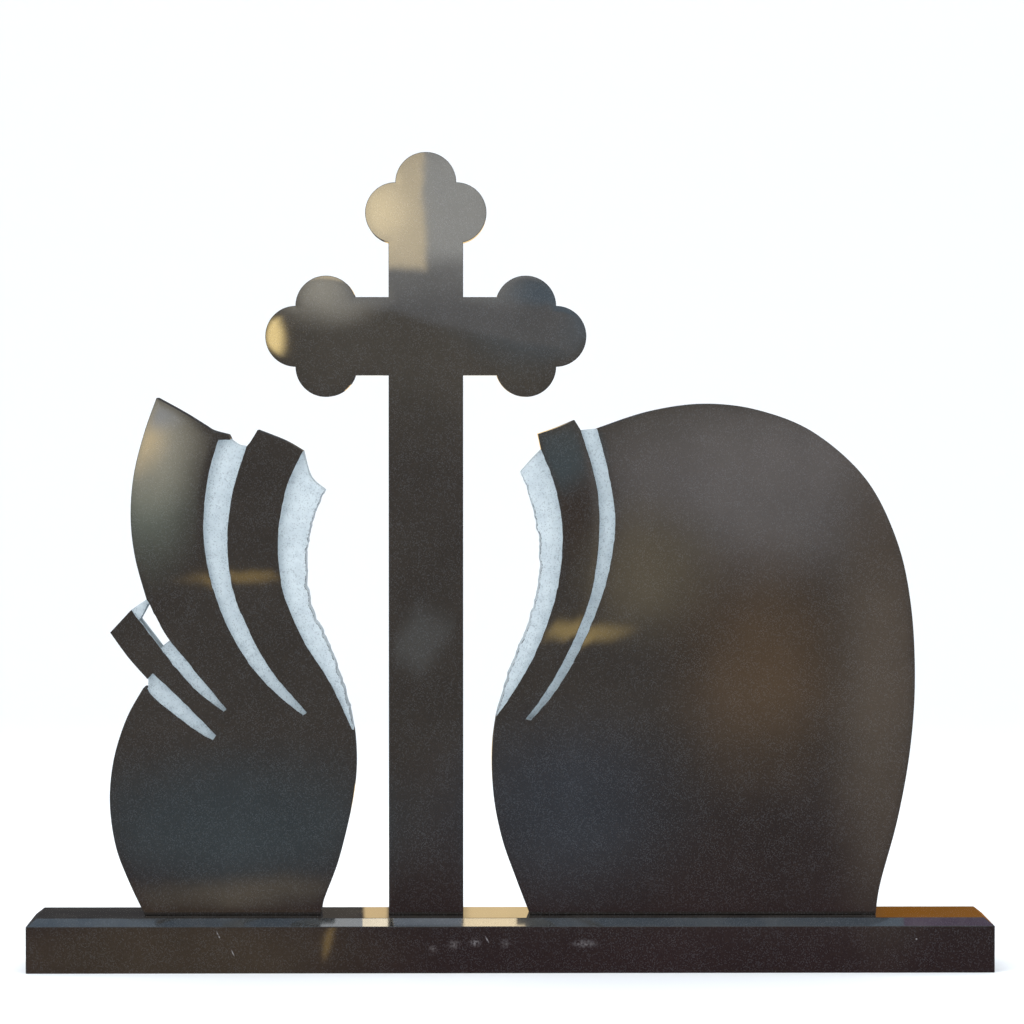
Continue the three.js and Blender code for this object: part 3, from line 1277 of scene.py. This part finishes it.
@dataclass(frozen=True)
class HewnGranite:
    """Hewn granite: the same stone bruised pale by the chisel.

    Attributes:
        name: name of the material.
        pale: main colour.
        shade: colour in its clouds.
        speck: colour of the dark specks.
        settled: colour of the dust.
        line: colour of the broken line along the ragged edges, the dark stone there with painted shade of
            its chips.
        grain: crystals a metre.
        roughness: roughness of the surface.
    """

    name: str
    pale: Colour = (0.525, 0.59, 0.62, 1.0)
    shade: Colour = (0.445, 0.505, 0.54, 1.0)
    speck: Colour = (0.22, 0.25, 0.28, 1.0)
    settled: Colour = (0.5, 0.47, 0.42, 1.0)
    line: Colour = (0.03, 0.03, 0.034, 1.0)
    grain: float = 640.0
    roughness: float = 0.85

    def make(self, crystals: bpy.types.NodeTree, wear: bpy.types.NodeTree) -> bpy.types.Material:
        """Make the material.

        Args:
            crystals: the crystals group.
            wear: the wear group.

        Returns:
            The material.
        """
        material, tree, shader = new_material(self.name)
        place = tree.place()
        grain = tree.add("ShaderNodeGroup", node_tree=crystals, i_Scale=self.grain)
        marks = tree.add("ShaderNodeGroup", node_tree=wear, i_Dust=0.4, i_Smears=0.3)
        cloud = tree.ramp(tree.noise(place, 60.0, 4.0), 0.35, 0.7)
        stone = tree.mix(cloud, self.pale, self.shade)
        speck = tree.ramp(grain.outputs["Warm"], 0.84, 0.90)
        stone = tree.mix(tree.math("MULTIPLY", speck, 0.55), stone, self.speck)
        stone = tree.mix(tree.math("MULTIPLY", marks.outputs["Dust"], 0.5), stone, self.settled)
        # A dark broken line along the ragged edges: the dark stone there, with painted shade of the chips
        broken = tree.add("ShaderNodeAttribute", attribute_name="broken").outputs["Fac"]
        gaps = tree.ramp(tree.noise(place, 150.0, 3.0), 0.40, 0.52)
        bare = tree.math("MULTIPLY", tree.ramp(broken, 0.35, 0.75), gaps)
        stone = tree.mix(bare, stone, self.line)
        tree.put(shader.inputs["Base Color"], stone)
        tree.put(shader.inputs["Roughness"], self.roughness)
        height = tree.math("ADD", tree.noise(place, 420.0, 3.0), tree.noise(place, 1100.0, 2.0))
        bump = tree.add("ShaderNodeBump", i_Strength=0.45, i_Distance=0.0006, i_Height=height)
        tree.put(shader.inputs["Normal"], bump.outputs[0])
        return material


# What the polished fronts mirror: soft pale, warm and cool shapes on a dark ground, which
# is given low down and high up. The card stands behind the camera
FRONT_DEPTH = -8.6
FRONT_PLAIN = ((44, 36, 37), (54, 51, 49))
FRONT_PATCHES = (
    Patch(-0.45, 0.62, 0.9, 0.34, (57, 54, 51)),
    Patch(0.42, 0.83, 0.26, 0.155, (92, 89, 88)),
    Patch(0.10, 0.76, 0.035, 0.08, (58, 52, 48)),
    Patch(0.23, 0.66, 0.09, 0.09, (83, 77, 66), 0.8),
    Patch(0.42, 0.50, 0.11, 0.14, (77, 65, 53), 0.9),
    Patch(0.62, 0.50, 0.07, 0.32, (79, 72, 65), 0.8),
    Patch(0.09, 0.27, 0.16, 0.12, (53, 56, 61), 0.8),
    Patch(0.08, 0.86, 0.05, 0.06, (64, 73, 77)),
    Patch(-0.46, 0.24, 0.24, 0.10, (56, 62, 65), 0.7),
    Patch(-0.45, 0.125, 0.15, 0.022, (74, 69, 62), 0.9, 3.0),
    Patch(-0.15, 0.55, 0.035, 0.05, (70, 70, 69), 0.5, -30.0, Shape.BOX),
    Patch(-0.61, 0.80, 0.065, 0.10, (99, 105, 97), 0.9),
    Patch(-0.605, 0.885, 0.070, 0.085, (148, 144, 130), 0.9),
    Patch(-0.609, 0.880, 0.030, 0.040, (184, 168, 136), 0.9, -15.0),
    Patch(-0.583, 0.918, 0.030, 0.024, (141, 142, 141), 0.8),
    Patch(-0.45, 0.651, 0.075, 0.010, (108, 92, 62), 0.7),
    Patch(0.115, 0.561, 0.062, 0.014, (132, 115, 78), 0.8),
    Patch(-0.02, 1.06, 0.55, 0.16, (69, 66, 61), 0.7),
    Patch(0.07, 1.105, 0.12, 0.075, (76, 85, 92), 0.8),
    Patch(-0.06, 1.095, 0.17, 0.035, (83, 83, 83), 0.25, -13.0, Shape.BOX),
    Patch(-0.302, 1.135, 0.070, 0.048, (134, 131, 122), 0.8),
    Patch(-0.402, 1.052, 0.025, 0.036, (226, 200, 140), 0.45),
    Patch(-0.13, 1.20, 0.13, 0.08, (102, 102, 101), 0.4, 0.0, Shape.BOX),
    Patch(-0.13, 1.30, 0.24, 0.125, (134, 134, 131), 0.2, 0.0, Shape.BOX),
    Patch(-0.242, 1.30, 0.10, 0.137, (174, 162, 138), 0.07, 0.0, Shape.BOX),
    Patch(-0.225, 1.265, 0.040, 0.05, (208, 192, 158), 0.9),
    Patch(-0.55, 0.03, 0.30, 0.07, (60, 53, 46), 0.6),
    Patch(-0.295, 0.052, 0.006, 0.026, (108, 90, 60), 0.7, -19.0),
)

# What the top of the base mirrors at a grazing angle, by the place along the base
BACK_DEPTH = 3.0
BACK_PLAIN = ((54, 53, 54), (54, 53, 54))
BACK_PATCHES = (
    Patch(-0.285, 0.5, 0.035, 3.0, (68, 64, 60), 0.3, 0.0, Shape.BOX),
    Patch(-0.2235, 0.5, 0.021, 3.0, (200, 174, 130), 0.2, 0.0, Shape.BOX),
    Patch(-0.015, 0.5, 0.070, 3.0, (208, 183, 138), 0.3, 0.0, Shape.BOX),
    Patch(0.74, 0.5, 0.15, 3.0, (120, 78, 30), 0.3, 0.0, Shape.BOX),
)

# What the base's chamfer mirrors in front of the cross, in the gaps beside it and at the right
# end: least and greatest X, least and greatest Y, and how it looks in the polish
GAP_HEIGHT = 0.85
GAP_CARDS = (
    ((-0.336, -0.260, -0.05, 0.02), (132, 135, 138)),
    ((-0.260, -0.214, -0.05, 0.02), (222, 210, 186)),
    ((-0.222, -0.080, -0.10, -0.055), (106, 114, 124)),
    ((-0.077, 0.034, -0.05, 0.02), (214, 196, 162)),
    ((0.720, 0.900, -0.06, 0.03), (64, 55, 70)),
)

# Small scratches and dull spots on the front of the base
BASE_SCUFFS = (
    Patch(-0.4817, 0.0624, 0.0010, 0.0070, (130, 129, 130), 0.5, 28.0),
    Patch(-0.4586, 0.0344, 0.0010, 0.0060, (120, 119, 120), 0.5, 24.0),
    Patch(-0.0390, 0.0558, 0.0010, 0.0055, (116, 114, 116), 0.5, 30.0),
    Patch(0.6700, 0.0558, 0.0016, 0.0016, (116, 114, 116), 0.4),
    Patch(-0.1280, 0.0410, 0.0060, 0.0050, (64, 59, 60), 0.9),
    Patch(-0.0934, 0.0476, 0.0080, 0.0060, (72, 67, 68), 0.9),
    Patch(-0.0588, 0.0509, 0.0070, 0.0055, (90, 86, 88), 0.9),
    Patch(-0.0095, 0.0492, 0.0060, 0.0060, (64, 60, 62), 0.9),
    Patch(0.1220, 0.0490, 0.0160, 0.0050, (84, 80, 82), 0.9),
)


@dataclass
class Card:
    """A glowing card that only the gloss of the stone sees.

    A card in front is plain for light that rises to it, which the base has mirrored already.

    Attributes:
        name: its name.
        depth: its place along Y, or its height where it lies overhead.
        eye: the camera's place, from which its patches are placed.
        plain: how its plain part looks in the polish low down and high up.
        patches: its soft patches.
        share: share of light that the stone mirrors towards the camera there.
        own: light of the stone itself, which is taken off.
        overhead: whether it lies overhead, so that its height runs along Y. It then
            shines straight down only, and is clear from any other side.
        span: its least and greatest X, then its least and greatest height.
    """

    name: str
    depth: float
    eye: Place
    plain: tuple[Seen, Seen]
    patches: tuple[Patch, ...] = ()
    share: float = 0.046
    own: float = 0.009
    overhead: bool = False
    span: tuple[float, float, float, float] = (-6.0, 6.0, -1.6, 5.0)

    # Slopes of the light between which the front card turns plain and an overhead one clear
    RISING = (-0.085, -0.065)
    UPRIGHT = (0.97, 0.985)

    def build(self) -> None:
        """Add the card and its glow."""
        left, right, low, high = self.span
        corners = [(left, low), (right, low), (right, high), (left, high)]
        mesh = bpy.data.meshes.new(self.name)
        mesh.from_pydata([(x, 0.0, z) for x, z in corners], [], [(0, 1, 2, 3)])
        card = bpy.data.objects.new(self.name, mesh)
        if self.overhead:
            card.location.z = self.depth
            card.rotation_euler.x = math.radians(-90.0)
        else:
            card.location.y = self.depth
        bpy.context.scene.collection.objects.link(card)
        mesh.materials.append(self._glow())
        card.visible_camera = False
        card.visible_diffuse = False
        card.visible_transmission = False
        card.visible_shadow = False

    def _light(self, seen: Seen) -> Colour:
        """Light that the card needs to look so in the polish.

        The stone's own light is taken off and the rest is divided by the mirrored share.
        """
        red, green, blue = (np.maximum(linear(seen) - self.own, 0.0) / self.share).tolist()
        return red, green, blue, 1.0

    def _glow(self) -> bpy.types.Material:
        """The card's material."""
        material = bpy.data.materials.new(self.name)
        material.use_nodes = True
        material.node_tree.nodes.clear()
        tree = NodeTree(material.node_tree)
        front = self._front(tree)
        moved = self._sway(tree, front)
        low, high = (self._light(seen) for seen in self.plain)
        colour = tree.mix(tree.ramp(tree.part(moved, "Z"), 0.02, 0.42), low, high)
        for patch in self.patches:
            colour = tree.mix(patch_mask(tree, moved, patch), colour, self._light(patch.seen))
        fall = tree.part(tree.geometry("Incoming"), "Z")
        if self.depth < 0:
            colour = tree.mix(tree.ramp(fall, *self.RISING), high, colour)
        mottle = tree.ramp(tree.noise(front, 6.0, 5.0), 0.3, 0.7, 0.86, 1.16)
        surface = tree.add("ShaderNodeEmission", i_Color=colour, i_Strength=mottle).outputs[0]
        if self.overhead:
            clear = tree.add("ShaderNodeBsdfTransparent").outputs[0]
            beam = tree.ramp(tree.math("ABSOLUTE", fall), *self.UPRIGHT)
            surface = tree.add("ShaderNodeMixShader", i_0=beam, i_1=clear, i_2=surface).outputs[0]
        output = tree.add("ShaderNodeOutputMaterial")
        tree.put(output.inputs["Surface"], surface)
        return material

    def _front(self, tree: NodeTree) -> Socket:
        """Where on the polished fronts the camera sees each place of the card.

        The card lies beyond the fronts' plane in the mirror, so that it is seen smaller by
        the two distances from the camera, and about the camera's own X and height.
        """
        spread = 1.0 + abs(self.depth) / abs(self.eye[1])
        shift = (1.0 - spread) * self.eye[0]
        drop = (1.0 - spread) * self.eye[2] if self.depth < 0 else 0.0
        return tree.add(
            "ShaderNodeMapping",
            vector_type="TEXTURE",
            i_Vector=tree.place(),
            i_Location=(shift, 0.0, drop),
            i_Scale=(spread, 1.0, spread),
        ).outputs[0]

    @staticmethod
    def _sway(tree: NodeTree, place: Socket) -> Socket:
        """A place moved a little by noise, so that the edges of the shapes aren't straight."""
        noise = tree.add("ShaderNodeTexNoise", i_Vector=place, i_Scale=9.0, i_Detail=4.0).outputs["Color"]
        sway = tree.add("ShaderNodeVectorMath", operation="SUBTRACT", i_0=noise, i_1=(0.5, 0.5, 0.5))
        step = tree.add("ShaderNodeVectorMath", operation="SCALE", i_0=sway.outputs[0], i_Scale=0.035)
        moved = tree.add("ShaderNodeVectorMath", operation="ADD", i_0=place, i_1=step.outputs[0])
        return moved.outputs[0]


@dataclass
class Studio:
    """A plain pale floor, soft light and the soft shapes that the polish mirrors.

    Attributes:
        eye: the camera's place.
        sky: colour of the light from all round.
        zenith: colour of the light from straight above.
        strength: their strength.
        floor: colour of the floor.
        glow: light that the floor adds, so that it stays pale.
    """

    eye: Place
    sky: Colour = (0.92, 0.96, 1.0, 1.0)
    zenith: Colour = (1.0, 1.35, 1.75, 1.0)
    strength: float = 0.9
    floor: Colour = (0.86, 0.86, 0.86, 1.0)
    glow: float = 0.15

    def build(self) -> None:
        """Set up the world, the floor, the lamps and the cards."""
        self._world()
        self._floor()
        self._lamp("key", (-2.6, -3.4, 4.2), 2.6, 130.0)
        self._lamp("fill", (3.4, -3.0, 3.0), 2.6, 45.0)
        self._lamp("top", (0.2, 1.6, 4.6), 3.0, 60.0)
        Card("front_card", FRONT_DEPTH, self.eye, FRONT_PLAIN, FRONT_PATCHES).build()
        Card("back_card", BACK_DEPTH, self.eye, BACK_PLAIN, BACK_PATCHES, share=0.55, own=0.006).build()
        for number, (span, seen) in enumerate(GAP_CARDS):
            name = f"gap_card_{number}"
            Card(name, GAP_HEIGHT, self.eye, (seen, seen), share=0.053, overhead=True, span=span).build()

    def _world(self) -> None:
        """Even light from all round."""
        world = bpy.data.worlds.new("soft_sky")
        world.use_nodes = True
        tree = NodeTree(world.node_tree)
        shade = world.node_tree.nodes["Background"]
        height = tree.part(tree.add("ShaderNodeTexCoord").outputs["Generated"], "Z")
        tree.put(shade.inputs[0], tree.mix(tree.ramp(height, 0.88, 0.98), self.sky, self.zenith))
        tree.put(shade.inputs[1], self.strength)
        bpy.context.scene.world = world

    def _floor(self) -> None:
        """A floor that curves up far behind the object, and which the polish doesn't mirror."""
        reach, bend_start, bend, top = 14.0, 6.0, 2.5, 9.0
        angles = np.linspace(0.0, math.pi / 2, 16)
        depth = np.concatenate([[-reach], bend_start + bend * np.sin(angles), [bend_start + bend]])
        height = np.concatenate([[0.0], bend - bend * np.cos(angles), [top]])
        vertices = [(x, float(y), float(z)) for y, z in zip(depth, height) for x in (-reach, reach)]
        faces = [(2 * i, 2 * i + 1, 2 * i + 3, 2 * i + 2) for i in range(len(depth) - 1)]
        mesh = bpy.data.meshes.new("floor")
        mesh.from_pydata(vertices, [], faces)
        mesh.polygons.foreach_set("use_smooth", [True] * len(faces))
        floor = bpy.data.objects.new("floor", mesh)
        bpy.context.scene.collection.objects.link(floor)
        material, tree, shader = new_material("floor")
        tree.put(shader.inputs["Base Color"], self.floor)
        tree.put(shader.inputs["Roughness"], 0.9)
        tree.put(shader.inputs["Emission Color"], (1.0, 1.0, 1.0, 1.0))
        tree.put(shader.inputs["Emission Strength"], self.glow)
        mesh.materials.append(material)
        floor.visible_glossy = False

    @staticmethod
    def _lamp(name: str, place: Place, size: float, power: float) -> None:
        """A square soft lamp that points at the object and that the polish doesn't mirror."""
        light = bpy.data.lights.new(name, "AREA")
        light.shape = "SQUARE"
        light.size = size
        light.energy = power
        lamp = bpy.data.objects.new(name, light)
        lamp.location = place
        aim = Vector((0.0, 0.0, 0.5)) - Vector(place)
        lamp.rotation_euler = aim.to_track_quat("-Z", "Y").to_euler()
        lamp.visible_camera = False
        lamp.visible_glossy = False
        bpy.context.scene.collection.objects.link(lamp)


@dataclass(frozen=True)
class PhotoCamera:
    """The camera at the photograph's place.

    Attributes:
        place: its place in metres.
        lens: focal length in millimetres on a 36 mm sensor.
        right: degrees that it looks to the right of straight ahead.
        down: degrees that it looks below the level.
    """

    place: Place = (-0.0835, -8.1, 0.98)
    lens: float = 170.9
    right: float = 0.613
    down: float = 1.563

    def build(self) -> None:
        """Add the camera to the scene."""
        camera = bpy.data.cameras.new("camera")
        camera.lens = self.lens
        camera.sensor_width = 36.0
        camera.clip_end = 100.0
        eye = bpy.data.objects.new("camera", camera)
        eye.location = self.place
        eye.rotation_euler = (math.radians(90.0 - self.down), 0.0, math.radians(-self.right))
        bpy.context.scene.collection.objects.link(eye)
        bpy.context.scene.camera = eye


def main() -> None:
    """Build the stones, the studio and the camera."""
    logging.basicConfig(level=logging.INFO, format="%(name)s: %(message)s")
    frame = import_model()
    crystals = crystals_group()
    wear = wear_group()
    polished = PolishedGranite("polished").make(crystals, wear)
    base_stone = PolishedGranite("polished_base", dust=0.12, scuffs=BASE_SCUFFS).make(crystals, wear)
    hewn = HewnGranite("hewn").make(crystals, wear)
    Base().build(base_stone)
    Slab("left_stele", Hewing(seed=11)).build(frame, polished, hewn)
    Slab("cross", Hewing(seed=12)).build(frame, polished, hewn)
    Slab("right_stele", Hewing(seed=13)).build(frame, polished, hewn)
    camera = PhotoCamera()
    Studio(camera.place).build()
    camera.build()
    bpy.context.scene.view_settings.view_transform = "Standard"


if __name__ == "__main__":
    main()
